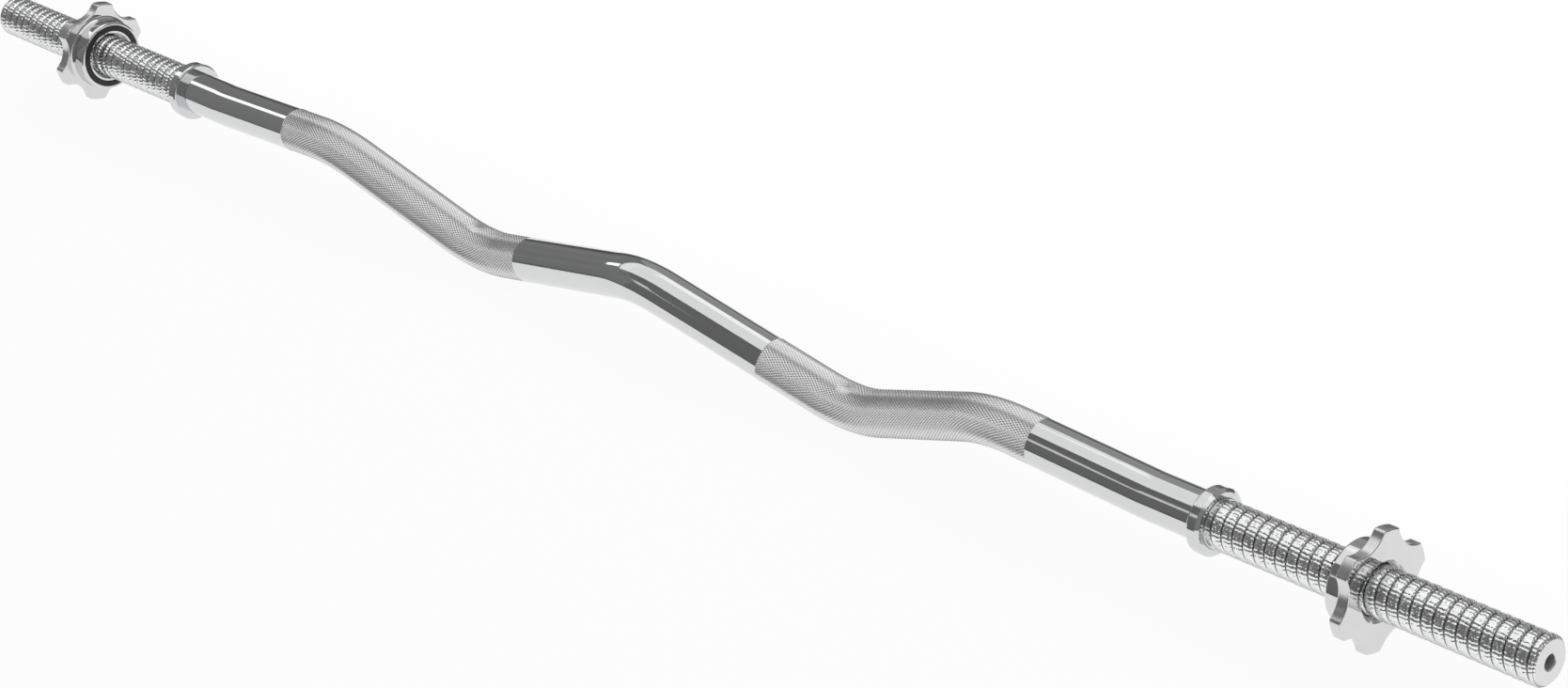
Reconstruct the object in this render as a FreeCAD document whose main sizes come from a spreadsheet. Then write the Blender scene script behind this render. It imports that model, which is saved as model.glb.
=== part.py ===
import FreeCAD, Part
import math
import os
import Sketcher

# EZ curl bar: a bent steel shaft with threaded ends, pressed collars and six-lobed spin-lock nuts.
# The bar lies along X with its bends in the XZ plane, inner bends down, as it hangs in a rack.
# The origin is the middle of the bar, on the line of the two threaded sleeves.

# Driving sizes, in millimetres and degrees
SIZES = {
    # Shaft: corner points of the bent centre line, measured from the middle of the sleeve line
    "bar_length": 1200,
    "shaft_dia": 25,
    "inner_bend_x": 151,
    "inner_bend_drop": 36.3,
    "outer_bend_x": 261.8,
    "outer_bend_rise": 6.5,
    "sleeve_bend_x": 369.9,
    "centre_bend_radius": 75,
    "inner_bend_radius": 75,
    "outer_bend_radius": 90,
    "sleeve_bend_radius": 120,
    # Threaded sleeves, turned down outside a shoulder that stands a little proud of the collar
    "shoulder_stand": 0.8,
    "shoulder_round": 0.4,
    "relief_length": 1.6,
    "relief_dia": 22.4,
    "thread_dia": 24.8,
    "thread_depth": 1,
    "thread_pitch": 6.5,
    "thread_crest_flat": 3.8,
    "thread_flank_angle": 30,
    "thread_clearance": 0.45,
    "end_chamfer": 1.7,
    "centre_hole_dia": 7.4,
    "centre_hole_depth": 12,
    "centre_hole_tip": 2.2,
    "centre_hole_chamfer": 0.6,
    # Inner collars, pressed on the shaft; the plates stop against them
    "collar_face_x": 410.5,
    "collar_width": 7.4,
    "collar_dia": 33.8,
    "collar_bevel": 1.6,
    "collar_edge_round": 1.2,
    "collar_mouth_chamfer": 0.5,
    # Slotted spring pins that lock the collars, driven in from below
    "pin_dia": 4,
    "pin_wall": 0.8,
    "pin_slot": 0.8,
    "pin_shaft_depth": 7,
    "pin_recess": 0.6,
    # Star nuts: a six-lobed plate on a round hub
    "right_nut_x": 507,
    "left_nut_x": 510.5,
    "right_nut_turn": 57.6,
    "left_nut_turn": 56.7,
    "lobe_count": 6,
    "lobe_tip_dia": 60.4,
    "lobe_valley_dia": 49.2,
    "scallop_dia": 30,
    "lobe_corner_round": 2,
    "plate_thickness": 6.5,
    "plate_edge_round": 0.9,
    "hub_dia": 42,
    "hub_length": 10.4,
    "hub_edge_round": 1.4,
    "hub_root_round": 2,
    "nut_mouth_dia": 27.4,
    "nut_mouth_depth": 2.4,
    "nut_mouth_bevel": 1.5,
    "nut_throat_dia": 28.8,
    "nut_throat_depth": 2,
    # Rubber rings in the nuts' inner faces
    "ring_dia": 38.2,
    "ring_width": 3.4,
    "ring_thickness": 3.4,
    "ring_stand": 0.5,
    "ring_edge_round": 0.5,
    "ring_clearance": 0.15,
}

# Lengths worked out from the driving sizes, as expressions over the sheet
SHAFT_R = "Sizes.shaft_dia / 2"
BAR_END = "Sizes.bar_length / 2"
SHOULDER = "(Sizes.collar_face_x + Sizes.shoulder_stand)"
THREAD_START = f"({SHOULDER} + Sizes.relief_length)"
CREST_R = "(Sizes.thread_dia / 2)"
ROOT_R = f"({CREST_R} - Sizes.thread_depth)"
FLANK = "tan(Sizes.thread_flank_angle * 1deg)"
NUT_MAJOR_R = f"({CREST_R} + Sizes.thread_clearance)"
NUT_MINOR_R = f"({ROOT_R} + Sizes.thread_clearance)"
COLLAR_R = "(Sizes.collar_dia / 2)"
PIN_R = "Sizes.pin_dia / 2"
PIN_X = "(Sizes.collar_face_x - Sizes.collar_width / 2)"
PIN_TOP = f"({SHAFT_R} - Sizes.pin_shaft_depth)"
RING_R = "(Sizes.ring_dia / 2)"
RING_BORE_R = f"({RING_R} - Sizes.ring_width)"
SEAT_DEPTH = "(Sizes.ring_thickness - Sizes.ring_stand + Sizes.ring_clearance)"

SIDES = {"left": -1, "right": 1}
CUT_MARGIN = 1
TOUCH = 1e-4

doc = FreeCAD.newDocument("ez_curl_bar")
sheet = doc.addObject("Spreadsheet::Sheet", "Sizes")
for row, (alias, number) in enumerate(SIZES.items(), start=1):
    sheet.set(f"A{row}", alias)
    sheet.set(f"B{row}", str(number))
    sheet.setAlias(f"B{row}", alias)
doc.recompute()


def value(expression):
    """Number that an expression over the sheet gives, in millimetres."""
    result = sheet.evalExpression(expression)
    return float(getattr(result, "Value", result))


def origin_feature(body, role):
    """Plane or axis of a body's own origin."""
    return next(feature for feature in body.Origin.OriginFeatures if feature.Role == role)


def new_sketch(body, name, plane, offset="0", turn="0"):
    """Sketch on an origin plane, moved along the plane's normal and turned about it."""
    sketch = body.newObject("Sketcher::SketchObject", name)
    sketch.AttachmentSupport = [(origin_feature(body, plane), "")]
    sketch.MapMode = "FlatFace"
    normal = FreeCAD.Vector(0, 0, 1)
    sketch.AttachmentOffset = FreeCAD.Placement(normal * value(offset), FreeCAD.Rotation(normal, value(turn)))
    if offset != "0":
        sketch.setExpression(".AttachmentOffset.Base.z", offset)
    if turn != "0":
        sketch.setExpression(".AttachmentOffset.Rotation.Angle", turn)
    return sketch


def bind(sketch, constraint, expression):
    """Add a dimension to a sketch and tie it to the sheet."""
    index = sketch.addConstraint(constraint)
    sketch.setExpression(f"Constraints[{index}]", expression)


def fix_point(sketch, geometry, vertex, along, up):
    """Place a sketch point by two expressions, or on an axis where one is 0."""
    for kind, axis, expression in (("DistanceX", -2, along), ("DistanceY", -1, up)):
        if expression == "0":
            sketch.addConstraint(Sketcher.Constraint("PointOnObject", geometry, vertex, axis))
        else:
            size = value(expression)
            bind(sketch, Sketcher.Constraint(kind, -1, 1, geometry, vertex, size), expression)


def add_circle(sketch, radius, along="0", up="0"):
    """Circle with its centre and radius tied to the sheet."""
    centre = FreeCAD.Vector(value(along), value(up), 0)
    circle = sketch.addGeometry(Part.Circle(centre, FreeCAD.Vector(0, 0, 1), value(radius)), False)
    fix_point(sketch, circle, 3, along, up)
    bind(sketch, Sketcher.Constraint("Radius", circle, value(radius)), radius)


def add_outline(sketch, corners):
    """Closed outline of straight lines through corners given as pairs of expressions."""
    points = [FreeCAD.Vector(value(along), value(up), 0) for along, up in corners]
    ends = points[1:] + points[:1]
    lines = [sketch.addGeometry(Part.LineSegment(start, end), False) for start, end in zip(points, ends)]
    for line, following in zip(lines, lines[1:] + lines[:1]):
        sketch.addConstraint(Sketcher.Constraint("Coincident", line, 2, following, 1))
    for line, (along, up) in zip(lines, corners):
        fix_point(sketch, line, 1, along, up)


def turned(body, name, corners, feature="Revolution"):
    """Outline in the XZ plane turned about the bar's line, as added or removed material."""
    sketch = new_sketch(body, f"{name}_outline", "XZ_Plane")
    add_outline(sketch, corners)
    result = body.newObject(f"PartDesign::{feature}", name)
    result.Profile = sketch
    result.ReferenceAxis = (origin_feature(body, "X_Axis"), [""])
    result.Angle = 360
    doc.recompute()
    return result


def rounded(body, name, radius, belongs):
    """Fillet on every edge of the body so far that belongs() accepts."""
    base = body.Tip
    edges = [f"Edge{number}" for number, edge in enumerate(base.Shape.Edges, start=1) if belongs(edge)]
    fillet = body.newObject("PartDesign::Fillet", name)
    fillet.Base = (base, edges)
    fillet.setExpression("Radius", radius)
    doc.recompute()


def is_ring(edge, radius, x):
    """True for a full circle of this radius about the bar's line at x."""
    curve = edge.Curve
    if not isinstance(curve, Part.Circle):
        return False
    return abs(curve.Radius - radius) < TOUCH and abs(curve.Center.x - x) < TOUCH


def reach(edge):
    """Distance of an edge's middle from the bar's line."""
    middle = edge.valueAt((edge.FirstParameter + edge.LastParameter) / 2)
    return math.hypot(middle.y, middle.z)


def is_flat_edge(edge, x):
    """True for an edge that lies in the plane square to the bar at x."""
    return edge.BoundBox.XLength < TOUCH and abs(edge.BoundBox.Center.x - x) < TOUCH


def cut_thread(body, name, corners, height, outward):
    """Right-hand helical groove of this section, run outward along the bar's line."""
    sketch = new_sketch(body, f"{name}_section", "XZ_Plane")
    add_outline(sketch, corners)
    helix = body.newObject("PartDesign::SubtractiveHelix", name)
    helix.Profile = sketch
    helix.ReferenceAxis = (origin_feature(body, "X_Axis"), [""])
    helix.Mode = 0
    helix.setExpression("Pitch", "Sizes.thread_pitch")
    helix.setExpression("Height", height)
    helix.Angle = 0
    helix.LeftHanded = False
    helix.Reversed = outward < 0
    before = helix.BaseFeature.Shape.Volume
    doc.recompute()
    if helix.Shape.Volume >= before:
        raise RuntimeError(f"{name} removed nothing")


def groove_half_width(radius):
    """Half the shaft's thread groove at a radius: what the ridge leaves of half the pitch."""
    return f"(Sizes.thread_pitch / 2 - {ridge_half_width(radius)})"


def ridge_half_width(radius):
    """Half the shaft's thread ridge at a radius."""
    return f"(Sizes.thread_crest_flat / 2 + ({CREST_R} - {radius}) * {FLANK})"


def nut_groove_half_width(radius):
    """Half the nut's thread groove at a radius: the shaft's ridge and the clearance square to its flank."""
    return f"({ridge_half_width(radius)} + Sizes.thread_clearance / cos(Sizes.thread_flank_angle * 1deg))"


def section(centre, inner_r, outer_r, half_width):
    """Four corners of a thread groove's section about an axial centre."""
    return [
        (f"{centre} - {half_width(inner_r)}", inner_r),
        (f"{centre} + {half_width(inner_r)}", inner_r),
        (f"{centre} + {half_width(outer_r)}", outer_r),
        (f"{centre} - {half_width(outer_r)}", outer_r),
    ]


def add_bent_path(sketch):
    """Straight runs and tangent arcs through the shaft's corner points, from end to end."""
    half = [
        ("Sizes.inner_bend_x", "-Sizes.inner_bend_drop", "Sizes.inner_bend_radius"),
        ("Sizes.outer_bend_x", "Sizes.outer_bend_rise", "Sizes.outer_bend_radius"),
        ("Sizes.sleeve_bend_x", "0", "Sizes.sleeve_bend_radius"),
    ]
    left = [(f"-{along}", up, radius) for along, up, radius in reversed(half)]
    corners = left + [("0", "0", "Sizes.centre_bend_radius")] + half
    ends = [(f"-{SHOULDER}", "0"), (SHOULDER, "0")]
    points = [FreeCAD.Vector(value(along), value(up), 0) for along, up, radius in corners]
    route = [FreeCAD.Vector(value(ends[0][0]), 0, 0)] + points + [FreeCAD.Vector(value(ends[1][0]), 0, 0)]
    run_start = route[0]
    arcs = []
    lines = []
    for before, corner, after, (along, up, radius) in zip(route, points, route[2:], corners):
        into = (corner - before).normalize()
        out_of = (after - corner).normalize()
        turn = into.getAngle(out_of)
        setback = value(radius) * math.tan(turn / 2)
        arc_start = corner - into * setback
        arc_end = corner + out_of * setback
        depth = value(radius) * (1 / math.cos(turn / 2) - 1)
        arc_middle = corner + (out_of - into).normalize() * depth
        lines.append(sketch.addGeometry(Part.LineSegment(run_start, arc_start), False))
        arcs.append(sketch.addGeometry(Part.Arc(arc_start, arc_middle, arc_end), False))
        run_start = arc_end
    lines.append(sketch.addGeometry(Part.LineSegment(run_start, route[-1]), False))
    fix_point(sketch, lines[0], 1, *ends[0])
    fix_point(sketch, lines[-1], 2, *ends[1])
    for arc, line, following, (along, up, radius), point in zip(arcs, lines, lines[1:], corners, points):
        begins_arc = (sketch.getPoint(arc, 1) - sketch.getPoint(line, 2)).Length < TOUCH
        near, far = (1, 2) if begins_arc else (2, 1)
        sketch.addConstraint(Sketcher.Constraint("Tangent", line, 2, arc, near))
        sketch.addConstraint(Sketcher.Constraint("Tangent", arc, far, following, 1))
        bind(sketch, Sketcher.Constraint("Radius", arc, value(radius)), radius)
        corner = sketch.addGeometry(Part.Point(point), True)
        sketch.addConstraint(Sketcher.Constraint("PointOnObject", corner, 1, line))
        sketch.addConstraint(Sketcher.Constraint("PointOnObject", corner, 1, following))
        fix_point(sketch, corner, 1, along, up)


def add_sleeve(body, side):
    """Turned-down end of the shaft with its relief, thread, chamfer and centre hole."""
    sign = SIDES[side]
    hole_r = "Sizes.centre_hole_dia / 2"
    hole_end = f"({BAR_END} - Sizes.centre_hole_depth)"
    stations = [
        (SHOULDER, "0"),
        (SHOULDER, "Sizes.relief_dia / 2"),
        (THREAD_START, "Sizes.relief_dia / 2"),
        (f"({THREAD_START} + {CREST_R} - Sizes.relief_dia / 2)", CREST_R),
        (f"({BAR_END} - Sizes.end_chamfer)", CREST_R),
        (BAR_END, f"{CREST_R} - Sizes.end_chamfer"),
        (BAR_END, f"{hole_r} + Sizes.centre_hole_chamfer"),
        (f"({BAR_END} - Sizes.centre_hole_chamfer)", hole_r),
        (hole_end, hole_r),
        (f"({hole_end} - Sizes.centre_hole_tip)", "0"),
    ]
    turned(body, f"{side}_sleeve", [(f"{sign} * {along}", up) for along, up in stations])
    height = f"{BAR_END} - {THREAD_START} + Sizes.thread_pitch"
    beyond = f"({CREST_R} + {CUT_MARGIN})"
    groove = section(f"{sign} * {THREAD_START}", ROOT_R, beyond, groove_half_width)
    cut_thread(body, f"{side}_thread", groove, height, sign)


def drill_pin_hole(body, name, x, top):
    """Round hole for a collar pin, from a height down through the underside."""
    sketch = new_sketch(body, f"{name}_circle", "XY_Plane", offset=top)
    add_circle(sketch, PIN_R, along=x)
    hole = body.newObject("PartDesign::Pocket", name)
    hole.Profile = sketch
    hole.Type = "ThroughAll"
    before = hole.BaseFeature.Shape.Volume
    doc.recompute()
    if hole.Shape.Volume >= before:
        raise RuntimeError(f"{name} removed nothing")


def make_shaft():
    """Bent bar with both threaded sleeves."""
    body = doc.addObject("PartDesign::Body", "shaft")
    path = new_sketch(body, "bent_path", "XZ_Plane")
    add_bent_path(path)
    bar_section = new_sketch(body, "bar_section", "YZ_Plane", offset=f"-{SHOULDER}")
    add_circle(bar_section, SHAFT_R)
    bar = body.newObject("PartDesign::AdditivePipe", "bent_bar")
    bar.Profile = bar_section
    bar.Spine = (path, [])
    doc.recompute()
    shaft_r = value(SHAFT_R)
    shoulder = value(SHOULDER)
    rounded(body, "shoulder_edges", "Sizes.shoulder_round",
            lambda edge: is_ring(edge, shaft_r, -shoulder) or is_ring(edge, shaft_r, shoulder))
    for side, sign in SIDES.items():
        drill_pin_hole(body, f"{side}_pin_hole", f"{sign} * {PIN_X}", f"-{PIN_TOP}")
    for side in SIDES:
        add_sleeve(body, side)
    return body


def make_collar(side):
    """Pressed ring with a bevelled outer face and a small chamfer round the shaft."""
    sign = SIDES[side]
    body = doc.addObject("PartDesign::Body", f"{side}_inner_collar")
    face = "Sizes.collar_face_x"
    back = f"({face} - Sizes.collar_width)"
    stations = [
        (back, SHAFT_R),
        (back, COLLAR_R),
        (f"({face} - Sizes.collar_bevel)", COLLAR_R),
        (face, f"{COLLAR_R} - Sizes.collar_bevel"),
        (face, f"{SHAFT_R} + Sizes.collar_mouth_chamfer"),
        (f"({face} - Sizes.collar_mouth_chamfer)", SHAFT_R),
    ]
    turned(body, f"{side}_collar_ring", [(f"{sign} * {along}", up) for along, up in stations])
    back_x = sign * value(back)
    rim_r = value(COLLAR_R)
    rounded(body, f"{side}_collar_round", "Sizes.collar_edge_round",
            lambda edge: is_ring(edge, rim_r, back_x))
    drill_pin_hole(body, f"{side}_collar_pin_hole", f"{sign} * {PIN_X}", "0")
    return body


def make_pin(side):
    """Slotted spring pin, from its recess in the collar's underside up into the shaft."""
    sign = SIDES[side]
    foot = f"-({COLLAR_R} - Sizes.pin_recess)"
    length = f"{COLLAR_R} - Sizes.pin_recess - {PIN_TOP}"
    tube = doc.addObject("Part::Cylinder", f"{side}_pin_tube")
    hollow = doc.addObject("Part::Cylinder", f"{side}_pin_hollow")
    slot = doc.addObject("Part::Box", f"{side}_pin_slot")
    tube.setExpression("Radius", PIN_R)
    hollow.setExpression("Radius", f"{PIN_R} - Sizes.pin_wall")
    for piece in (tube, hollow):
        piece.setExpression("Height", length)
    slot.setExpression("Length", PIN_R)
    slot.setExpression("Width", "Sizes.pin_slot")
    slot.setExpression("Height", length)
    for piece in (tube, hollow, slot):
        piece.setExpression(".Placement.Base.x", f"{sign} * {PIN_X}")
        piece.setExpression(".Placement.Base.z", foot)
    slot.setExpression(".Placement.Base.y", "-Sizes.pin_slot / 2")
    sleeve = doc.addObject("Part::Cut", f"{side}_pin_sleeve")
    sleeve.Base = tube
    sleeve.Tool = hollow
    pin = doc.addObject("Part::Cut", f"{side}_collar_pin")
    pin.Base = sleeve
    pin.Tool = slot
    return pin


def hub_face(side):
    """Distance of a nut's inner face from the middle of the bar."""
    return f"(Sizes.{side}_nut_x - Sizes.plate_thickness - Sizes.hub_length)"


def make_nut(side):
    """Star nut: scalloped plate and hub, ring seat, bore and internal thread in mesh with the shaft."""
    sign = SIDES[side]
    body = doc.addObject("PartDesign::Body", f"{side}_star_nut")
    front = f"Sizes.{side}_nut_x"
    plate_back = f"({front} - Sizes.plate_thickness)"
    face = hub_face(side)
    tip_r = "(Sizes.lobe_tip_dia / 2)"
    valley_r = "(Sizes.lobe_valley_dia / 2)"
    hub_r = "(Sizes.hub_dia / 2)"

    blank = [
        (front, "0"),
        (front, tip_r),
        (plate_back, tip_r),
        (plate_back, hub_r),
        (face, hub_r),
        (face, "0"),
    ]
    turned(body, f"{side}_nut_blank", [(f"{sign} * {along}", up) for along, up in blank])

    # A lobe points along the turn angle; the sketch's own up axis points to the scallop beside it
    scallop_turn = f"Sizes.{side}_nut_turn + 180 / Sizes.lobe_count - 90"
    circle = new_sketch(body, f"{side}_scallop_circle", "YZ_Plane", f"{sign} * {front}", scallop_turn)
    add_circle(circle, "Sizes.scallop_dia / 2", up=f"{valley_r} + Sizes.scallop_dia / 2")
    scallop = body.newObject("PartDesign::Pocket", f"{side}_scallop")
    scallop.Profile = circle
    scallop.setExpression("Length", "Sizes.plate_thickness")
    scallop.Reversed = sign < 0
    doc.recompute()
    scallops = body.newObject("PartDesign::PolarPattern", f"{side}_scallops")
    scallops.Originals = [scallop]
    scallops.Axis = (origin_feature(body, "X_Axis"), [""])
    scallops.Angle = 360
    scallops.setExpression("Occurrences", "Sizes.lobe_count")
    body.Tip = scallops
    doc.recompute()

    front_x = sign * value(front)
    back_x = sign * value(plate_back)
    face_x = sign * value(face)
    hub_radius = value(hub_r)
    rim = value(valley_r) - TOUCH
    rounded(body, f"{side}_lobe_corners", "Sizes.lobe_corner_round",
            lambda edge: isinstance(edge.Curve, Part.Line) and reach(edge) > rim)
    rounded(body, f"{side}_plate_edges", "Sizes.plate_edge_round",
            lambda edge: reach(edge) > rim and (is_flat_edge(edge, front_x) or is_flat_edge(edge, back_x)))
    rounded(body, f"{side}_hub_edge", "Sizes.hub_edge_round", lambda edge: is_ring(edge, hub_radius, face_x))
    rounded(body, f"{side}_hub_root", "Sizes.hub_root_round", lambda edge: is_ring(edge, hub_radius, back_x))

    mouth_r = "Sizes.nut_mouth_dia / 2"
    mouth_end = f"({front} - Sizes.nut_mouth_depth)"
    throat_r = "Sizes.nut_throat_dia / 2"
    throat_end = f"({face} + Sizes.nut_throat_depth)"
    bore = [
        (face, "0"),
        (face, throat_r),
        (throat_end, throat_r),
        (f"({throat_end} + {throat_r} - {NUT_MINOR_R})", NUT_MINOR_R),
        (f"({mouth_end} - {mouth_r} + {NUT_MINOR_R})", NUT_MINOR_R),
        (mouth_end, mouth_r),
        (f"({front} - Sizes.nut_mouth_bevel)", mouth_r),
        (front, f"{mouth_r} + Sizes.nut_mouth_bevel"),
        (front, "0"),
    ]
    turned(body, f"{side}_nut_bore", [(f"{sign} * {along}", up) for along, up in bore], "Groove")

    seat_end = f"({face} + {SEAT_DEPTH})"
    seat = [
        (face, f"{RING_BORE_R} - Sizes.ring_clearance"),
        (seat_end, f"{RING_BORE_R} - Sizes.ring_clearance"),
        (seat_end, f"{RING_R} + Sizes.ring_clearance"),
        (face, f"{RING_R} + Sizes.ring_clearance"),
    ]
    turned(body, f"{side}_ring_seat", [(f"{sign} * {along}", up) for along, up in seat], "Groove")

    # The nut's groove takes the shaft's ridge, half a pitch on from the shaft's groove
    turns_in = f"floor(({face} - {THREAD_START}) / Sizes.thread_pitch)"
    begin = f"({THREAD_START} + ({turns_in} - 0.5) * Sizes.thread_pitch)"
    inside = f"({NUT_MINOR_R} - {CUT_MARGIN})"
    groove = section(f"{sign} * {begin}", inside, NUT_MAJOR_R, nut_groove_half_width)
    cut_thread(body, f"{side}_nut_thread", groove, f"{front} - {begin} + Sizes.thread_pitch", sign)
    return body


def make_ring(side):
    """Rubber ring that stands a little proud of the nut's inner face."""
    sign = SIDES[side]
    body = doc.addObject("PartDesign::Body", f"{side}_rubber_ring")
    face = f"({hub_face(side)} - Sizes.ring_stand)"
    back = f"({face} + Sizes.ring_thickness)"
    stations = [(face, RING_BORE_R), (face, RING_R), (back, RING_R), (back, RING_BORE_R)]
    turned(body, f"{side}_ring_section", [(f"{sign} * {along}", up) for along, up in stations])
    face_x = sign * value(face)
    rounded(body, f"{side}_ring_round", "Sizes.ring_edge_round", lambda edge: is_flat_edge(edge, face_x))
    return body


nodes = [make_shaft()]
for side in SIDES:
    nodes += [make_collar(side), make_pin(side), make_nut(side), make_ring(side)]
doc.recompute()

for item in doc.Objects:
    if "Invalid" in item.State or "Error" in item.State:
        raise RuntimeError(f"{item.Label} failed: {item.State}")
for node in nodes:
    if node.Shape.isNull() or not node.Shape.isValid() or len(node.Shape.Solids) != 1:
        raise RuntimeError(f"{node.Label} is not one sound solid")

os.makedirs("parts", exist_ok=True)
for node in nodes:
    node.Shape.exportStep(f"parts/{node.Label}.step")
    print(f"{node.Label}: {node.Shape.Volume:.0f} mm3")
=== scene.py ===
import math
from functools import cache

import bpy
import numpy as np
from mathutils import Matrix, Vector


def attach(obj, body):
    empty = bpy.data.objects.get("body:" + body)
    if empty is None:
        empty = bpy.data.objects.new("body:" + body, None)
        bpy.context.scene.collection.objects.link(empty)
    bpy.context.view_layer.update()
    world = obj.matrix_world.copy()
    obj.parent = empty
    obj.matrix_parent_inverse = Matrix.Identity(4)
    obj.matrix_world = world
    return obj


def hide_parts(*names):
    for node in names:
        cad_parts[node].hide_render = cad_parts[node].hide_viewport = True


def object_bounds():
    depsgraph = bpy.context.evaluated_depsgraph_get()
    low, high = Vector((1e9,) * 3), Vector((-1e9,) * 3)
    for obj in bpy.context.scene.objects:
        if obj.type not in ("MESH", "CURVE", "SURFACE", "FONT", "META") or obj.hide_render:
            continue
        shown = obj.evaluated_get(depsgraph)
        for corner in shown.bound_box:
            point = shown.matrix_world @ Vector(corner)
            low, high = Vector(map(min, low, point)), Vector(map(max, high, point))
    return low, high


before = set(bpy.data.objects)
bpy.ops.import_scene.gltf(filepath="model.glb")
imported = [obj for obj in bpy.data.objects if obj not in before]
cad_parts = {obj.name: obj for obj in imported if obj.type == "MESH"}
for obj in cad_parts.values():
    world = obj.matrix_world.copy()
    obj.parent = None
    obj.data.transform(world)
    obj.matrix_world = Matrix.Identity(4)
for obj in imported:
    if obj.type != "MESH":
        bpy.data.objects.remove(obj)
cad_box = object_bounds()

MM = 0.001

# Shaft, in millimetres, as in the part's source
SHAFT_R = 12.5
BAR_END = 600.0
INNER_BEND = (151.0, -36.3)
OUTER_BEND = (261.8, 6.5)
SLEEVE_BEND = (369.9, 0.0)
BEND_RADII = {"centre": 75.0, "inner": 75.0, "outer": 90.0, "sleeve": 120.0}
SHOULDER = 411.3
SHOULDER_ROUND = 0.4
RELIEF_R = 11.2
THREAD_START = 412.9
CREST_R = 12.4
ROOT_R = 11.4
PITCH = 6.5
GROOVE_FLOOR_HALF = 0.3
GROOVE_MOUTH_HALF = 1.35
END_CHAMFER = 1.7
HOLE_R = 3.7
HOLE_CHAMFER = 0.6
HOLE_DEPTH = 12.0
HOLE_TIP = 2.2

# What rolling leaves on the thread: domed crests, and lumps round each turn
CREST_DOME = 0.22
LUMPS_A_TURN = 37
LUMP_SHIFT = 0.38
LUMP_HEIGHT = 0.07
UNEVEN_HEIGHT = 0.24
UNEVEN_FINENESS = 820

# Knurled grips: where they start and end along X, and the diamonds rolled into them
LEFT_GRIP_X = (-300.4, -104.3)
RIGHT_GRIP_X = (92.6, 296.9)
DIAMONDS_ROUND = 51
DIAMOND_STEPS = 4
DIAMOND_LENGTH = 2.667
KNURL_DEPTH = 0.24
KNURL_EASE = 1.4
KNURL_SINK = 0.1
KNURL_EDGE = 0.06

# Marks that the bending tool pressed into the knurl, each at an x and an angle from the top
BEND_MARKS = ((-154.0, 0.3), (149.0, 0.1))
BEND_MARK_LENGTH = 5.5
BEND_MARK_ANGLE = 0.32
BEND_MARK_DENT = 0.06
BEND_MARK_FLATTENS = 0.6

# Mesh steps, and the small lengths that only the meshes need
AROUND_BAR = DIAMONDS_ROUND * DIAMOND_STEPS
AROUND_THREAD = 120
SMOOTH_STEP = 2.0
THREAD_STEP = 0.325
SHOULDER_STEPS = 4
HALVINGS = 60
SHARP_ANGLE = math.radians(32)
SLEEVE_OVERLAP = 1.0
END_FACE_RIM = 0.4
END_FACE_MARGIN = 0.01
HOLE_TIP_R = 0.1


def bent_centre_line():
    """Straight runs and tangent arcs of the shaft's centre line.

    Each is (length, x, z, heading, turn per millimetre).
    """
    half = [(*INNER_BEND, BEND_RADII["inner"]), (*OUTER_BEND, BEND_RADII["outer"]),
            (*SLEEVE_BEND, BEND_RADII["sleeve"])]
    other_half = [(-x, z, radius) for x, z, radius in reversed(half)]
    corners = other_half + [(0.0, 0.0, BEND_RADII["centre"])] + half
    radii = [radius for x, z, radius in corners]
    route = np.array([(-SHOULDER, 0.0), *((x, z) for x, z, radius in corners), (SHOULDER, 0.0)])
    pieces = []
    start = route[0]
    for before, corner, after, radius in zip(route, route[1:], route[2:], radii):
        into = corner - before
        out_of = after - corner
        heading = math.atan2(into[1], into[0])
        turn = math.atan2(out_of[1], out_of[0]) - heading
        setback = radius * math.tan(abs(turn) / 2)
        arc_start = corner - into / np.linalg.norm(into) * setback
        pieces.append((np.linalg.norm(arc_start - start), *start, heading, 0.0))
        curl = math.copysign(1 / radius, turn)
        pieces.append((radius * abs(turn), *arc_start, heading, curl))
        start = corner + out_of / np.linalg.norm(out_of) * setback
    pieces.append((np.linalg.norm(route[-1] - start), *start, 0.0, 0.0))
    return pieces


CENTRE_LINE = bent_centre_line()
LINE_LENGTH = sum(piece[0] for piece in CENTRE_LINE)


def on_line(distance):
    """Point (x, z) and heading of the centre line at a distance from its left end."""
    for length, x, z, heading, curl in CENTRE_LINE[:-1]:
        if distance <= length:
            break
        distance -= length
    else:
        _, x, z, heading, curl = CENTRE_LINE[-1]
    if curl == 0:
        return x + distance * math.cos(heading), z + distance * math.sin(heading), heading
    turned = heading + curl * distance
    return (x + (math.sin(turned) - math.sin(heading)) / curl,
            z - (math.cos(turned) - math.cos(heading)) / curl, turned)


def distance_at(x_wanted):
    """Distance along the centre line at which it passes an x."""
    low, high = 0.0, LINE_LENGTH
    for _ in range(HALVINGS):
        middle = (low + high) / 2
        if on_line(middle)[0] < x_wanted:
            low = middle
        else:
            high = middle
    return low


def ring_round(distance, radii):
    """Ring of points about the centre line; radii holds one radius per column."""
    x, z, heading = on_line(distance)
    angle = np.arange(len(radii)) * 2 * math.pi / len(radii)
    up = radii * np.cos(angle)
    across = radii * np.sin(angle)
    points = [x - up * math.sin(heading), across, z + up * math.cos(heading)]
    return np.stack(points, axis=1) * MM


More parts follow.
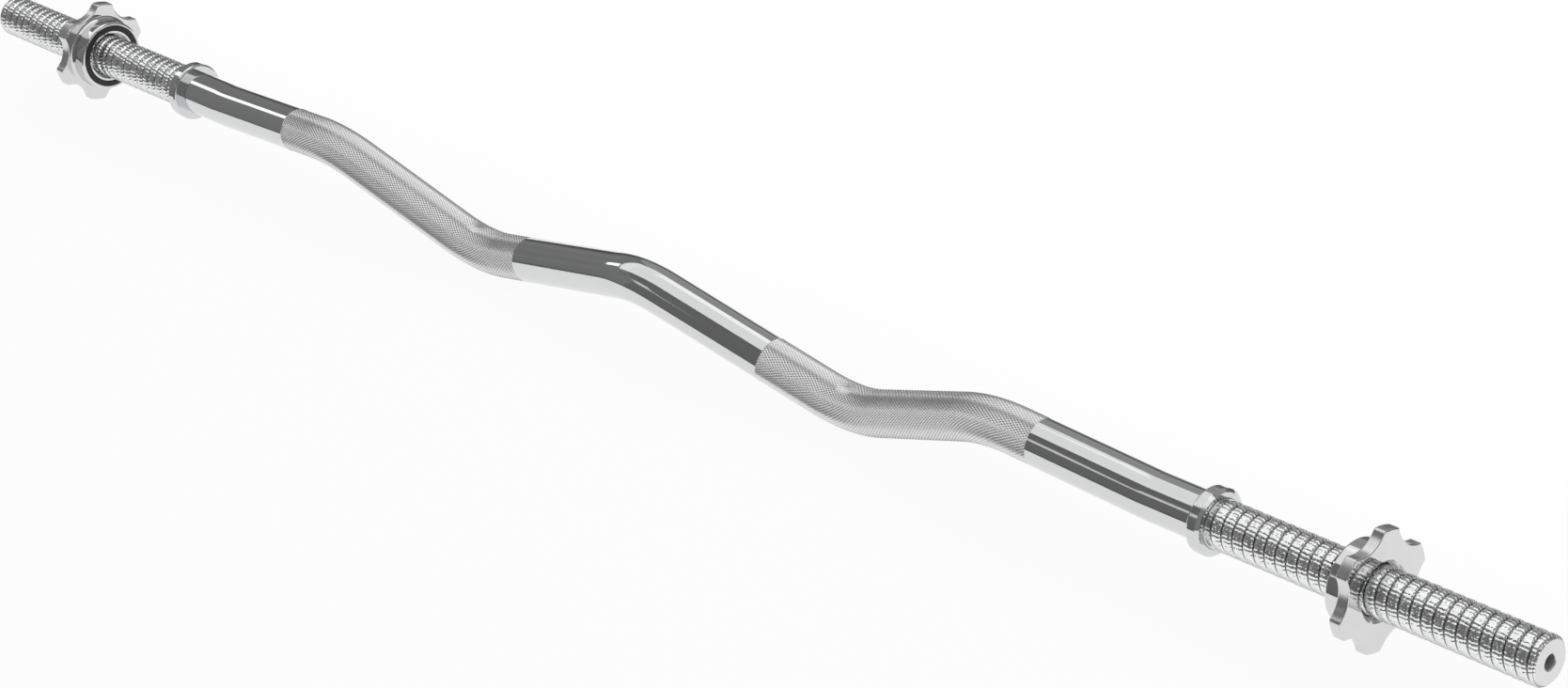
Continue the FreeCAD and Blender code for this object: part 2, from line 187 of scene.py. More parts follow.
def mesh_of_rings(name, rings, valley=None):
    """Closed mesh through rings of points, with flat caps.

    valley(row, column) says which way a quad is split: 1, -1, or 0 for a whole one.
    """
    rows, columns = len(rings), len(rings[0])
    points = np.concatenate(rings)
    faces = []
    for row in range(rows - 1):
        for column in range(columns):
            beside = (column + 1) % columns
            a, b = row * columns + column, row * columns + beside
            c, d = a + columns, b + columns
            split = valley(row, column) if valley else 0
            if split > 0:
                faces += [(a, b, c), (b, d, c)]
            elif split < 0:
                faces += [(a, b, d), (a, d, c)]
            else:
                faces.append((a, b, d, c))
    faces.append(tuple(range(columns))[::-1])
    last = (rows - 1) * columns
    faces.append(tuple(range(last, last + columns)))
    mesh = bpy.data.meshes.new(name)
    mesh.from_pydata(points.tolist(), [], faces)
    mesh.validate()
    return mesh


def give_two_finishes(mesh, main, other, takes_other):
    """Give a mesh its main finish, and the other one where takes_other(face) says so."""
    mesh.materials.append(main)
    mesh.materials.append(other)
    for face in mesh.polygons:
        face.use_smooth = True
        face.material_index = int(takes_other(face))
    mesh.set_sharp_from_angle(angle=SHARP_ANGLE)


def in_scene(name, data):
    """Object for a mesh, a lamp or a camera, put in the scene."""
    item = bpy.data.objects.new(name, data)
    bpy.context.scene.collection.objects.link(item)
    return item


def new_piece(mesh, body):
    """Object for a mesh, which rides on a body."""
    piece = in_scene(mesh.name, mesh)
    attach(piece, body)
    return piece


def bend_mark(distance, angle):
    """How much the bending tool has pressed the knurl: most inside the two inner bends."""
    strongest = 0.0
    for mark_x, mark_angle in BEND_MARKS:
        away = (distance - distance_at(mark_x)) / BEND_MARK_LENGTH
        aside = (angle - mark_angle) / BEND_MARK_ANGLE
        strongest = np.maximum(strongest, np.exp(-away**2 - aside**2))
    return strongest


def knurl_radii(step, distance):
    """Radii round one ring of a grip: four-sided points between two crossing sets of grooves."""
    column = np.arange(AROUND_BAR)
    angle = (column * 2 * math.pi / AROUND_BAR + math.pi) % (2 * math.pi) - math.pi
    lean = (step + column) / DIAMOND_STEPS % 1
    counter_lean = (step - column) / DIAMOND_STEPS % 1
    ridge = np.minimum(1 - 2 * abs(lean - 0.5), 1 - 2 * abs(counter_lean - 0.5))
    height = np.minimum(KNURL_EASE * ridge, 1)
    pressed = bend_mark(distance, angle)
    groove = KNURL_DEPTH * (1 - height) * (1 - BEND_MARK_FLATTENS * pressed)
    return SHAFT_R - KNURL_SINK - groove - BEND_MARK_DENT * pressed


def shoulder_steps():
    """Where a shoulder's round edge passes: in from its face, and below the bar's surface."""
    return [(SHOULDER_ROUND * (1 - math.sin(turn)), SHOULDER_ROUND * (1 - math.cos(turn)))
            for turn in np.linspace(math.pi / 2, 0, SHOULDER_STEPS, endpoint=False)]


def bent_bar():
    """The bent shaft from shoulder to shoulder, smooth and knurled in turn."""
    step_length = DIAMOND_LENGTH / DIAMOND_STEPS
    grips = []
    for start_x, end_x in (LEFT_GRIP_X, RIGHT_GRIP_X):
        start = distance_at(start_x)
        grips.append((start, round((distance_at(end_x) - start) / step_length)))
    smooth = np.full(AROUND_BAR, SHAFT_R)
    rings, knurl_steps = [], []

    def add_ring(distance, radii, knurl_step=None):
        rings.append(ring_round(distance, radii))
        knurl_steps.append(knurl_step)

    def add_smooth_run(start, end):
        count = max(2, round((end - start) / SMOOTH_STEP))
        for distance in np.linspace(start, end, count + 1):
            add_ring(distance, smooth)

    for along, below in shoulder_steps():
        add_ring(along, smooth - below)
    here = SHOULDER_ROUND
    for start, steps in grips:
        add_smooth_run(here, start)
        for step in range(steps + 1):
            distance = start + KNURL_EDGE + step * step_length
            add_ring(distance, knurl_radii(step, distance), step)
        here = start + 2 * KNURL_EDGE + steps * step_length
    add_smooth_run(here, LINE_LENGTH - SHOULDER_ROUND)
    for along, below in reversed(shoulder_steps()):
        add_ring(LINE_LENGTH - along, smooth - below)

    def between_knurled_rings(row):
        return None not in knurl_steps[row:row + 2]

    def valley(row, column):
        if not between_knurled_rings(row):
            return 0
        step = knurl_steps[row]
        if (step + column + 1) % DIAMOND_STEPS == 0:
            return 1
        if (step - column) % DIAMOND_STEPS == 0:
            return -1
        return 0

    def is_knurled(face):
        return between_knurled_rings(min(face.vertices) // AROUND_BAR)

    mesh = mesh_of_rings("bent_bar", rings, valley)
    give_two_finishes(mesh, polished_chrome(), knurled_chrome(), is_knurled)
    return new_piece(mesh, "bar")


def thread_radii(x, thread_start):
    """Radii round one ring of a sleeve's thread, a right-hand ridge with a domed crest."""
    turn = np.arange(AROUND_THREAD) / AROUND_THREAD
    phase = (x - thread_start) / PITCH + turn
    from_groove = abs(phase - np.round(phase)) * PITCH
    flank = GROOVE_MOUTH_HALF - GROOVE_FLOOR_HALF
    rise = np.clip((from_groove - GROOVE_FLOOR_HALF) / flank, 0, 1)
    dome = CREST_DOME * (1 - 2 * from_groove / PITCH) ** 2
    return ROOT_R + (CREST_R - ROOT_R - dome) * rise * rise * (3 - 2 * rise)


def sleeve_ring(x, radii):
    """Ring of points about the sleeve's line at x; radii is one radius, or one per column."""
    angle = np.arange(AROUND_THREAD) * 2 * math.pi / AROUND_THREAD
    points = [np.full(AROUND_THREAD, x), radii * np.sin(angle), radii * np.cos(angle)]
    return np.stack(points, axis=1) * MM


def threaded_sleeve(side, sign):
    """Threaded end of the shaft, from inside the shoulder to the bottom of its centre hole."""
    rings = []

    def add_ring(distance, radii):
        rings.append(sleeve_ring(sign * distance, radii))

    add_ring(SHOULDER - SLEEVE_OVERLAP, RELIEF_R)
    for distance in np.arange(THREAD_START, BAR_END, THREAD_STEP):
        lead_in = RELIEF_R + distance - THREAD_START
        lead_out = CREST_R - max(0, distance - (BAR_END - END_CHAMFER))
        radii = thread_radii(sign * distance, sign * THREAD_START)
        add_ring(distance, np.minimum(radii, min(lead_in, lead_out)))
    face_edge = CREST_R - END_CHAMFER
    hole_mouth = HOLE_R + HOLE_CHAMFER
    add_ring(BAR_END, face_edge)
    add_ring(BAR_END, face_edge - END_FACE_RIM)
    add_ring(BAR_END, hole_mouth)
    add_ring(BAR_END - HOLE_CHAMFER, HOLE_R)
    add_ring(BAR_END - HOLE_DEPTH, HOLE_R)
    add_ring(BAR_END - HOLE_DEPTH - HOLE_TIP, HOLE_TIP_R)
    if sign < 0:
        rings = rings[::-1]

    def is_end_face_or_hole(face):
        on_end_face = abs(face.center.x) > (BAR_END - END_FACE_MARGIN) * MM
        return on_end_face or math.hypot(face.center.y, face.center.z) < hole_mouth * MM

    mesh = mesh_of_rings(f"{side}_threaded_sleeve", rings)
    give_two_finishes(mesh, threaded_chrome(), turned_end_face(), is_end_face_or_hole)
    return new_piece(mesh, "bar")


# Where a finish changes, or painted shade or painted light starts, in metres: by x, by the
# radius from the sleeves' line, or by the height above the thread's root
COLLAR_THREAD_SIDE_X = (0.411, 0.412)
COLLAR_BORE_EDGE = (12.85 * MM, 13.05 * MM)
HOLE_EDGE = ((HOLE_R - 0.1) * MM, (HOLE_R + 0.2) * MM)
NUT_BORE_EDGE = (13.9 * MM, 14.8 * MM)
NUT_LOBE_FOOT = (21.5 * MM, 23.5 * MM)
THREAD_FLANK = (0.03 * MM, 0.16 * MM)

# Where the painted shade of the underside ends, by how far a surface faces up
UNDERSIDE_EDGE = (-0.5, 0.05)

# Marks on a finish: how fine they are per metre, and the ranges of their noise
LINE_STRETCH = (6, 1400, 1400)
SMEAR_STRETCH = (30, 70, 70)
TOOL_MARK_FINENESS = 2600.0
ALL_NOISE = (0.0, 1.0)
MOST_NOISE = (0.3, 0.7)

BLACK = (0.0, 0.0, 0.0)
HOLE_SHADE = 0.38

# Colour sockets of a Mix node, which share their names with its other sockets
MIX_LOW, MIX_HIGH, MIX_RESULT = 6, 7, 2


class Nodes:
    """Short ways to add and join nodes in one tree."""

    def __init__(self, tree):
        self.tree = tree

    def add(self, kind, **values):
        node = self.tree.nodes.new(kind)
        for name, setting in values.items():
            setattr(node, name, setting)
        return node

    def join(self, source, target):
        self.tree.links.new(source, target)

    def place(self):
        return self.add("ShaderNodeTexCoord").outputs["Object"]

    def facing(self):
        return self.add("ShaderNodeTexCoord").outputs["Normal"]

    def parts(self, vector):
        node = self.add("ShaderNodeSeparateXYZ")
        self.join(vector, node.inputs[0])
        return node.outputs

    def math(self, operation, first, second=None):
        node = self.add("ShaderNodeMath", operation=operation)
        for socket, item in zip(node.inputs, (first, second)):
            if isinstance(item, (int, float)):
                socket.default_value = item
            elif item is not None:
                self.join(item, socket)
        return node.outputs[0]

    def spread(self, source, given, wanted):
        node = self.add("ShaderNodeMapRange")
        self.join(source, node.inputs["Value"])
        labels = ("From Min", "From Max", "To Min", "To Max")
        for label, number in zip(labels, (*given, *wanted)):
            node.inputs[label].default_value = number
        return node.outputs["Result"]

    def noise(self, vector, scale, detail, roughness):
        node = self.add("ShaderNodeTexNoise")
        node.inputs["Scale"].default_value = scale
        node.inputs["Detail"].default_value = detail
        node.inputs["Roughness"].default_value = roughness
        self.join(vector, node.inputs["Vector"])
        return node.outputs["Fac"]

    def scaled(self, vector, factor):
        node = self.add("ShaderNodeVectorMath", operation="SCALE")
        self.join(vector, node.inputs[0])
        self.join(factor, node.inputs["Scale"])
        return node.outputs[0]

    def stretched(self, vector, scale):
        node = self.add("ShaderNodeMapping")
        node.inputs["Scale"].default_value = scale
        self.join(vector, node.inputs["Vector"])
        return node.outputs["Vector"]

    def blend(self, factor, low, high):
        node = self.add("ShaderNodeMix", data_type="RGBA")
        self.join(factor, node.inputs["Factor"])
        node.inputs[MIX_LOW].default_value = (*low, 1)
        node.inputs[MIX_HIGH].default_value = (*high, 1)
        return node.outputs[MIX_RESULT]


def new_group(name, outputs, **inputs):
    """Node group with named number sockets; gives the group and its nodes."""
    group = bpy.data.node_groups.new(name, "ShaderNodeTree")
    for label, default in inputs.items():
        socket = group.interface.new_socket(label.replace("_", " "), in_out="INPUT",
                                            socket_type="NodeSocketFloat")
        socket.default_value = default
    for label in outputs:
        group.interface.new_socket(label, in_out="OUTPUT", socket_type="NodeSocketFloat")
    return group, Nodes(group)


def add_group(nodes, group, **values):
    """Place a node group, set its inputs and give its outputs."""
    node = nodes.add("ShaderNodeGroup")
    node.node_tree = group
    for label, number in values.items():
        node.inputs[label.replace("_", " ")].default_value = number
    return node.outputs


@cache
def polishing_lines():
    """Group: fine lines left along the bar by drawing and polishing, and handling marks."""
    group, nodes = new_group("polishing_lines", ("Lines", "Smears"), Fineness=1.0, Smear_Size=1.0)
    given = nodes.add("NodeGroupInput").outputs
    put_out = nodes.add("NodeGroupOutput").inputs
    place = nodes.place()
    fine = nodes.stretched(nodes.scaled(place, given["Fineness"]), LINE_STRETCH)
    soft = nodes.stretched(nodes.scaled(place, given["Smear Size"]), SMEAR_STRETCH)
    nodes.join(nodes.noise(fine, 1.0, 4, 0.6), put_out["Lines"])
    nodes.join(nodes.noise(soft, 1.0, 4, 0.5), put_out["Smears"])
    return group


@cache
def bar_line_radius():
    """Group: how far a point lies from the line through both sleeves."""
    group, nodes = new_group("bar_line_radius", ("Radius",))
    put_out = nodes.add("NodeGroupOutput").inputs
    across = nodes.add("ShaderNodeVectorMath", operation="MULTIPLY")
    nodes.join(nodes.place(), across.inputs[0])
    across.inputs[1].default_value = (0, 1, 1)
    length = nodes.add("ShaderNodeVectorMath", operation="LENGTH")
    nodes.join(across.outputs[0], length.inputs[0])
    nodes.join(length.outputs["Value"], put_out["Radius"])
    return group


@cache
def painted_underside_shade():
    """Group: painted shade, full on the upper side and falling to a given share on the underside,
    where less light falls.
    """
    group, nodes = new_group("painted_underside_shade", ("Clean",), Underside_Share=0.5)
    given = nodes.add("NodeGroupInput").outputs
    put_out = nodes.add("NodeGroupOutput").inputs
    upper = nodes.add("ShaderNodeMapRange")
    nodes.join(nodes.parts(nodes.facing())["Z"], upper.inputs["Value"])
    upper.inputs["From Min"].default_value, upper.inputs["From Max"].default_value = UNDERSIDE_EDGE
    nodes.join(given["Underside Share"], upper.inputs["To Min"])
    nodes.join(upper.outputs["Result"], put_out["Clean"])
    return group


def new_finish(name, metallic=1.0):
    """Material with its shader alone; gives the material, its nodes and the shader."""
    material = bpy.data.materials.new(name)
    material.use_nodes = True
    shader = material.node_tree.nodes["Principled BSDF"]
    shader.inputs["Metallic"].default_value = metallic
    return material, Nodes(material.node_tree), shader


def set_look(nodes, shader, tone, rough):
    """Join a finish's colour and roughness to its shader."""
    nodes.join(tone, shader.inputs["Base Color"])
    nodes.join(rough, shader.inputs["Roughness"])


def bump(nodes, shader, height, strength, distance):
    """Small relief on a shader's normal."""
    node = nodes.add("ShaderNodeBump")
    node.inputs["Strength"].default_value = strength
    node.inputs["Distance"].default_value = distance
    nodes.join(height, node.inputs["Height"])
    nodes.join(node.outputs["Normal"], shader.inputs["Normal"])


@cache
def polished_chrome():
    """Bright chrome of the smooth bar."""
    material, nodes, shader = new_finish("polished_chrome")
    marks = add_group(nodes, polishing_lines(), Fineness=1.0, Smear_Size=1.0)
    tone = nodes.blend(marks["Lines"], (0.64, 0.645, 0.65), (0.71, 0.715, 0.72))
    rough_lines = nodes.spread(marks["Lines"], (0.35, 0.65), (0.03, 0.06))
    rough_smears = nodes.spread(marks["Smears"], (0.45, 0.75), (0.0, 0.04))
    set_look(nodes, shader, tone, nodes.math("ADD", rough_lines, rough_smears))
    bump(nodes, shader, marks["Lines"], strength=0.04, distance=0.1 * MM)
    return material


@cache
def collar_chrome():
    """Chrome of the turned collars, with painted shade at the bore's edge on the thread side,
    where the gap round the thread is shaded.
    """
    material, nodes, shader = new_finish("collar_chrome")
    marks = add_group(nodes, polishing_lines(), Fineness=0.8, Smear_Size=2.0)
    radius = add_group(nodes, bar_line_radius())["Radius"]
    # Painted shade: the bore's edge on the thread side is coloured near black, where the gap round
    # the thread lies in shade.
    from_middle = nodes.math("ABSOLUTE", nodes.parts(nodes.place())["X"])
    on_bar_side = nodes.spread(from_middle, COLLAR_THREAD_SIDE_X, (1.0, 0.0))
    past_bore_edge = nodes.spread(radius, COLLAR_BORE_EDGE, (0.0, 1.0))
    tone_after_painted_shade = nodes.math("MAXIMUM", on_bar_side, past_bore_edge)
    shade = nodes.math("MULTIPLY", tone_after_painted_shade, nodes.spread(marks["Smears"], MOST_NOISE, (0.92, 1.0)))
    tone = nodes.blend(shade, (0.06, 0.06, 0.06), (0.7, 0.705, 0.71))
    set_look(nodes, shader, tone, nodes.spread(marks["Smears"], (0.35, 0.7), (0.06, 0.13)))
    bump(nodes, shader, marks["Smears"], strength=0.05, distance=0.4 * MM)
    return material


@cache
def knurled_chrome():
    """Chrome over the rolled diamonds of the grips, with painted shade on the underside."""
    material, nodes, shader = new_finish("knurled_chrome")
    marks = add_group(nodes, polishing_lines(), Fineness=1.0, Smear_Size=0.8)
    # Painted shade: the underside is coloured darker where less light falls; the smears are
    # handling marks.
    upper = add_group(nodes, painted_underside_shade(), Underside_Share=0.5)["Clean"]
    tone_after_painted_shade = nodes.math("MULTIPLY", upper, nodes.spread(marks["Smears"], ALL_NOISE, (0.9, 1.0)))
    tone = nodes.blend(tone_after_painted_shade, BLACK, (0.9, 0.9, 0.905))
    set_look(nodes, shader, tone, nodes.spread(marks["Smears"], MOST_NOISE, (0.26, 0.34)))
    shader.inputs["Specular Tint"].default_value = (0.55, 0.55, 0.55, 1)
    return material


def rolled_lumps(nodes, place):
    """Height in millimetres of the lumps round the thread, set off from turn to turn."""
    parts = nodes.parts(place)
    angle = nodes.math("ARCTAN2", parts["Y"], parts["Z"])
    turn = nodes.math("DIVIDE", angle, 2 * math.pi)
    from_thread_start = nodes.math("ADD", parts["X"], THREAD_START * MM)
    along = nodes.math("DIVIDE", from_thread_start, PITCH * MM)
    turn_number = nodes.math("FLOOR", nodes.math("ADD", along, turn))
    shift = nodes.math("MULTIPLY", turn_number, LUMP_SHIFT)
    lump_number = nodes.math("ADD", nodes.math("MULTIPLY", turn, LUMPS_A_TURN), shift)
    lumps = nodes.math("SINE", nodes.math("MULTIPLY", lump_number, 2 * math.pi))
    uneven = nodes.noise(place, UNEVEN_FINENESS, 0, 0.5)
    return nodes.math("ADD", nodes.math("MULTIPLY", lumps, LUMP_HEIGHT),
                      nodes.math("MULTIPLY", uneven, UNEVEN_HEIGHT))


@cache
def threaded_chrome():
    """Chrome of the rolled thread: lumpy on the broad crests, with painted shade in the narrow
    grooves and on the underside.
    """
    material, nodes, shader = new_finish("threaded_chrome")
    place = nodes.place()
    grain = nodes.noise(place, 2400, 2, 0.5)
    radius = add_group(nodes, bar_line_radius())["Radius"]
    # Painted shade: the grooves are coloured grey and the underside darker, where less light
    # falls.
    from_root = nodes.math("ABSOLUTE", nodes.math("SUBTRACT", radius, ROOT_R * MM))
    crest = nodes.spread(from_root, THREAD_FLANK, (0.0, 1.0))
    upper = add_group(nodes, painted_underside_shade(), Underside_Share=0.6)["Clean"]
    tone_after_painted_shade = nodes.math("MULTIPLY", upper, nodes.spread(crest, (0.0, 1.0), (0.25, 1.0)))
    tone = nodes.blend(tone_after_painted_shade, BLACK, (0.86, 0.865, 0.87))
    set_look(nodes, shader, tone, nodes.spread(grain, MOST_NOISE, (0.04, 0.09)))
    shader.inputs["Specular Tint"].default_value = (0.7, 0.7, 0.7, 1)
    bump(nodes, shader, rolled_lumps(nodes, place), strength=1.0, distance=MM)
    return material


@cache
def turned_end_face():
    """Satin end face with the rings of the turning tool, and a grey hole."""
    material, nodes, shader = new_finish("turned_end_face")
    radius = add_group(nodes, bar_line_radius())["Radius"]
    rings = nodes.add("ShaderNodeCombineXYZ")
    nodes.join(nodes.math("MULTIPLY", radius, TOOL_MARK_FINENESS), rings.inputs["X"])
    tool_marks = nodes.noise(rings.outputs[0], 1.0, 3, 0.6)
    outside = nodes.spread(radius, HOLE_EDGE, (HOLE_SHADE, 1.0))
    shade = nodes.math("MULTIPLY", outside, nodes.spread(tool_marks, MOST_NOISE, (0.88, 1.0)))
    tone = nodes.blend(shade, BLACK, (0.8, 0.8, 0.8))
    set_look(nodes, shader, tone, nodes.spread(tool_marks, MOST_NOISE, (0.25, 0.38)))
    metal = nodes.spread(outside, (HOLE_SHADE, 1.0), (0.0, 1.0))
    nodes.join(metal, shader.inputs["Metallic"])
    bump(nodes, shader, tool_marks, strength=0.15, distance=0.1 * MM)
    return material


@cache
def cast_chrome():
    """Chrome over the cast star nuts: polished faces, softer lobe edges, and painted light that
    makes the shaded bore pale.
    """
    material, nodes, shader = new_finish("cast_chrome")
    place = nodes.place()
    skin = nodes.noise(place, 240, 3, 0.5)
    cloud = nodes.noise(place, 60, 3, 0.5)
    radius = add_group(nodes, bar_line_radius())["Radius"]
    flatness = nodes.math("ABSOLUTE", nodes.parts(nodes.facing())["X"])
    edge = nodes.spread(flatness, (0.8, 0.97), (1.0, 0.0))
    rough_lobes = nodes.math("MULTIPLY", edge, nodes.spread(radius, NUT_LOBE_FOOT, (0.0, 0.2)))
    # Painted light: the bore is coloured paler to lighten the shade inside it.
    in_bore = nodes.spread(radius, NUT_BORE_EDGE, (1.0, 0.0))
    painted_bore_light = nodes.math("MULTIPLY", in_bore, 0.75)
    bright = nodes.math("ADD", nodes.spread(cloud, ALL_NOISE, (0.0, 0.25)), painted_bore_light)
    tone = nodes.blend(bright, (0.66, 0.66, 0.665), (0.97, 0.97, 0.97))
    softened = nodes.math("ADD", rough_lobes, nodes.math("MULTIPLY", in_bore, 0.3))
    polished = nodes.spread(cloud, MOST_NOISE, (0.05, 0.1))
    set_look(nodes, shader, tone, nodes.math("ADD", softened, polished))
    bump(nodes, shader, skin, strength=0.02, distance=0.8 * MM)
    return material


@cache
def black_rubber():
    """Moulded black rubber of the nuts' rings, with a little dust."""
    material, nodes, shader = new_finish("black_rubber", metallic=0.0)
    place = nodes.place()
    grain = nodes.noise(place, 1200, 3, 0.6)
    dust = nodes.noise(place, 140, 4, 0.6)
    tone = nodes.blend(dust, (0.008, 0.008, 0.008), (0.028, 0.028, 0.027))
    set_look(nodes, shader, tone, nodes.spread(dust, MOST_NOISE, (0.45, 0.62)))
    bump(nodes, shader, grain, strength=0.2, distance=0.2 * MM)
    return material


@cache
def oiled_spring_steel():
    """Dull oiled steel of the collar pins."""
    material, nodes, shader = new_finish("oiled_spring_steel")
    grain = nodes.noise(nodes.stretched(nodes.place(), (1500, 1500, 200)), 1.0, 3, 0.6)
    tone = nodes.blend(grain, (0.22, 0.22, 0.23), (0.42, 0.42, 0.43))
    set_look(nodes, shader, tone, nodes.spread(grain, MOST_NOISE, (0.32, 0.5)))
    return material


def dress(node, material):
    """Give a CAD node its finish."""
    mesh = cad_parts[node].data
    mesh.materials.clear()
    mesh.materials.append(material)
    for face in mesh.polygons:
        face.material_index = 0


# Studio, in metres; a panel is (low x, low y, high x, high y), at the softbox's height
FLOOR = (-1.5, -1.3, 1.5, 0.13)
FLOOR_GAP = 0.0005
FLOOR_FADE = 0.1
FLOOR_GLOW = 0.93
WHITE_LIGHT = (1, 1, 1, 1)
SOFTBOX = (-2.2, -0.38, 2.45, 1.75)
SOFTBOX_HEIGHT = 1.6
SOFTBOX_BRIGHT = 0.82
BRIGHT_PANELS = {
    "softbox_far_band": ((-0.92, 0.85, 2.4, 1.6), 1.28),
    "left_strip": ((-3.95, -0.1, -2.3, 0.42), 1.5),
    "near_strip": ((-1.7, -1.8, -1.0, -1.3), 0.75),
}
PANEL_DROP = 0.01
GLOW_UNEVEN = (0.8, 1.2)
WALL_DISTANCE = 4.0
WALL_FOOT = -3.0
WALL_HEIGHT = 4.0
WALL_TONES = {"near_wall": 0.16, "right_wall": 0.25, "far_wall": 0.36, "left_wall": 0.22,
              "dark_ceiling": 0.16}
WALL_FOOT_SHARE = 0.45
WALL_FOOT_FADE = (-0.1, 0.35)
SURROUND_LIGHT = 0.45

# Camera, found from the bar's edges in the photograph
CAMERA_PLACE = (1.53144, -0.85409, 1.28765)
CAMERA_RIGHT = (0.68053, 0.66721, -0.30283)
CAMERA_UP = (-0.28726, 0.62316, 0.72743)
CAMERA_LENS = 94.082
CAMERA_SENSOR = 36.0
CAMERA_SHIFT = (-0.0074, 0.001)


def stage_piece(mesh):
    """Object for a mesh of the studio, which is no part of the bar."""
    piece = in_scene(mesh.name, mesh)
    return piece


def only_mirrored(piece):
    """Let a piece of the studio show in reflections alone."""
    piece.visible_camera = False
    piece.visible_diffuse = False
    piece.visible_shadow = False
    piece.visible_transmission = False


def level_panel(name, panel, height):
    """Flat mesh over a panel's rectangle."""
    low_x, low_y, high_x, high_y = panel
    outline = ((low_x, low_y), (high_x, low_y), (high_x, high_y), (low_x, high_y))
    mesh = bpy.data.meshes.new(name)
    mesh.from_pydata([(x, y, height) for x, y in outline], [], [(0, 1, 2, 3)])
    return mesh


def bare_material(name):
    """Material with an empty tree; gives the material and its nodes."""
    material = bpy.data.materials.new(name)
    material.use_nodes = True
    material.node_tree.nodes.clear()
    return material, Nodes(material.node_tree)


def seen_or_mirrored(nodes):
    """One for rays from the camera and for reflected and transmitted rays, none for the rest."""
    rays = nodes.add("ShaderNodeLightPath").outputs
    seen = nodes.math("MAXIMUM", rays["Is Camera Ray"], rays["Is Glossy Ray"])
    return nodes.math("MAXIMUM", seen, rays["Is Transmission Ray"])


def glowing(name, level, foot_share=None):
    """Slightly uneven glow for a panel or a wall; a wall keeps only a share of it at its foot."""
    material, nodes = bare_material(name)
    place = nodes.place()
    dim, bright = ((level * share,) * 3 for share in GLOW_UNEVEN)
    glow = nodes.add("ShaderNodeEmission")
    nodes.join(nodes.blend(nodes.noise(place, 0.8, 2, 0.55), dim, bright), glow.inputs["Color"])
    if foot_share is not None:
        strength = nodes.spread(nodes.parts(place)["Z"], WALL_FOOT_FADE, (foot_share, 1.0))
        nodes.join(strength, glow.inputs["Strength"])
    out = nodes.add("ShaderNodeOutputMaterial")
    nodes.join(glow.outputs[0], out.inputs["Surface"])
    return material


def white_paper():
    """Pale paper that keeps a faint shadow and fades to plain white towards the floor's edges."""
    material, nodes = bare_material("white_paper")
    paper = nodes.add("ShaderNodeBsdfDiffuse")
    paper.inputs["Color"].default_value = (0.9, 0.9, 0.9, 1)
    glow = nodes.add("ShaderNodeEmission")
    glow.inputs["Color"].default_value = WHITE_LIGHT

    def whiter_at_ends(along, low, high):
        at_low = nodes.spread(along, (low, low + FLOOR_FADE), (1.0, FLOOR_GLOW))
        at_high = nodes.spread(along, (high - FLOOR_FADE, high), (FLOOR_GLOW, 1.0))
        return nodes.math("MAXIMUM", at_low, at_high)

    parts = nodes.parts(nodes.place())
    low_x, low_y, high_x, high_y = FLOOR
    whiteness = nodes.math("MAXIMUM", whiter_at_ends(parts["Y"], low_y, high_y),
                           whiter_at_ends(parts["X"], low_x, high_x))
    mix = nodes.add("ShaderNodeMixShader")
    nodes.join(nodes.math("MULTIPLY", seen_or_mirrored(nodes), whiteness), mix.inputs[0])
    nodes.join(paper.outputs[0], mix.inputs[1])
    nodes.join(glow.outputs[0], mix.inputs[2])
    out = nodes.add("ShaderNodeOutputMaterial")
    nodes.join(mix.outputs[0], out.inputs["Surface"])
    return material


def paper_floor():
    """Pale paper just under the bar."""
    mesh = level_panel("paper_floor", FLOOR, cad_box[0].z - FLOOR_GAP)
    mesh.materials.append(white_paper())
    stage_piece(mesh)


def grey_studio_walls():
    """Dim walls and ceiling that only reflections see; they give the chrome its dark bands."""
    mesh = bpy.data.meshes.new("studio_walls")
    far = WALL_DISTANCE
    outline = ((-far, -far), (far, -far), (far, far), (-far, far))
    corners = [(x, y, z) for z in (WALL_FOOT, WALL_HEIGHT) for x, y in outline]
    walls = [(0, 1, 5, 4), (1, 2, 6, 5), (2, 3, 7, 6), (3, 0, 4, 7)]
    ceiling = (4, 5, 6, 7)
    mesh.from_pydata(corners, [], [*walls, ceiling])
    for face, (name, level) in zip(mesh.polygons, WALL_TONES.items()):
        mesh.materials.append(glowing(name, level, WALL_FOOT_SHARE))
        face.material_index = len(mesh.materials) - 1
    only_mirrored(stage_piece(mesh))


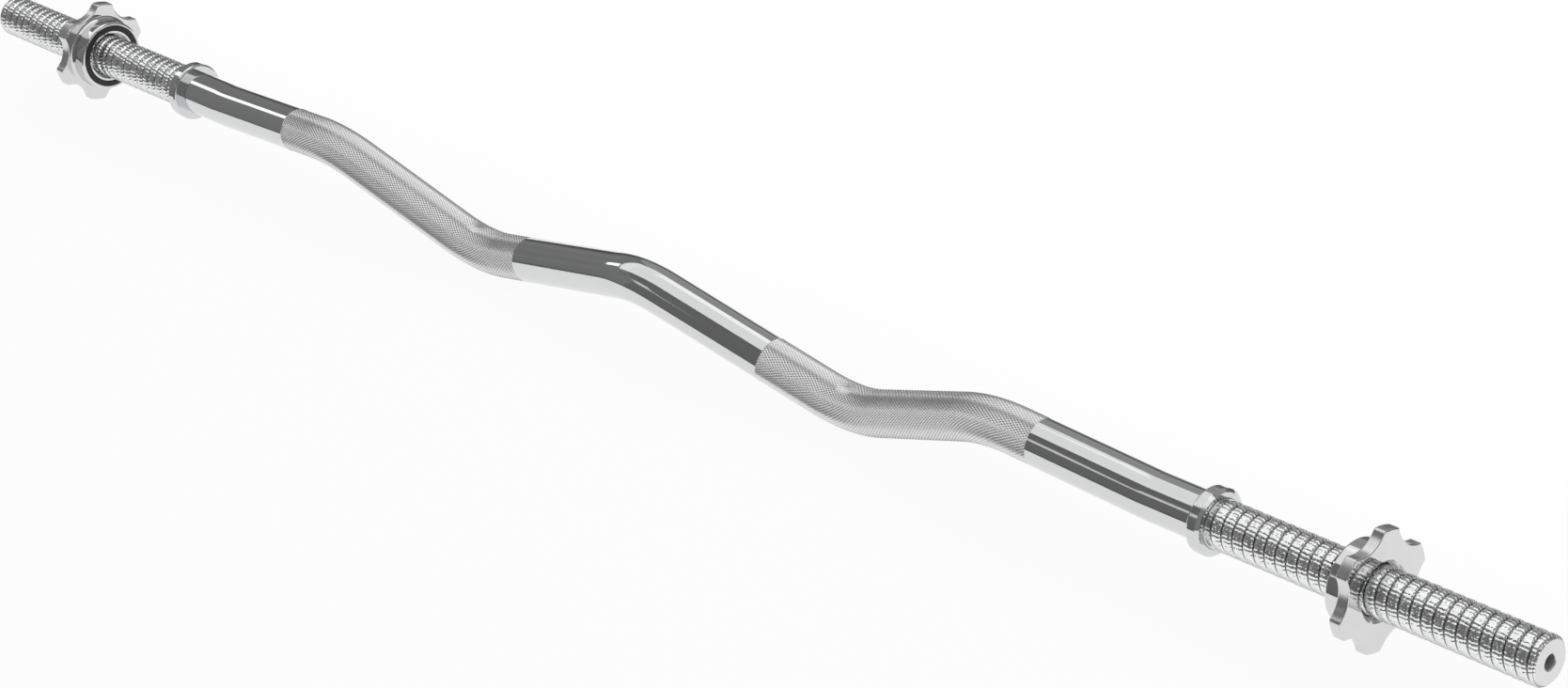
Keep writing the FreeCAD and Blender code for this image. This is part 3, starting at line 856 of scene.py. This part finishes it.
def soft_lamps():
    """One large softbox overhead, and the brighter band and strips that only the chrome shows."""
    low_x, low_y, high_x, high_y = SOFTBOX
    lamp = bpy.data.lights.new("overhead_softbox", "AREA")
    lamp.shape = "RECTANGLE"
    lamp.size = high_x - low_x
    lamp.size_y = high_y - low_y
    lamp.energy = SOFTBOX_BRIGHT * math.pi * lamp.size * lamp.size_y
    softbox = in_scene("overhead_softbox", lamp)
    softbox.location = ((low_x + high_x) / 2, (low_y + high_y) / 2, SOFTBOX_HEIGHT)
    for name, (panel, level) in BRIGHT_PANELS.items():
        mesh = level_panel(name, panel, SOFTBOX_HEIGHT - PANEL_DROP)
        mesh.materials.append(glowing(name, level))
        only_mirrored(stage_piece(mesh))


def white_surround():
    """White world for the camera, reflections and glass, with a soft even light for the rest."""
    world = bpy.data.worlds.new("white_surround")
    world.use_nodes = True
    world.node_tree.nodes.clear()
    bpy.context.scene.world = world
    nodes = Nodes(world.node_tree)
    background = nodes.add("ShaderNodeBackground")
    background.inputs["Color"].default_value = WHITE_LIGHT
    strength = nodes.spread(seen_or_mirrored(nodes), (0.0, 1.0), (SURROUND_LIGHT, 1.0))
    nodes.join(strength, background.inputs["Strength"])
    out = nodes.add("ShaderNodeOutputWorld")
    nodes.join(background.outputs[0], out.inputs["Surface"])


def photo_camera():
    """Camera at the photograph's place."""
    data = bpy.data.cameras.new("photo_camera")
    data.sensor_fit = "HORIZONTAL"
    data.sensor_width = CAMERA_SENSOR
    data.lens = CAMERA_LENS
    data.shift_x, data.shift_y = CAMERA_SHIFT
    camera = in_scene("photo_camera", data)
    right, up = Vector(CAMERA_RIGHT), Vector(CAMERA_UP)
    turn = Matrix((right, up, right.cross(up))).transposed().to_4x4()
    camera.matrix_world = Matrix.Translation(CAMERA_PLACE) @ turn
    bpy.context.scene.camera = camera


for piece in (bent_bar(), threaded_sleeve("left", -1), threaded_sleeve("right", 1)):
    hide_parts("shaft")
for side in ("left", "right"):
    dress(f"{side}_inner_collar", collar_chrome())
    dress(f"{side}_star_nut", cast_chrome())
    dress(f"{side}_rubber_ring", black_rubber())
    dress(f"{side}_collar_pin", oiled_spring_steel())

bpy.context.scene.view_settings.view_transform = "Standard"
paper_floor()
grey_studio_walls()
soft_lamps()
white_surround()
photo_camera()
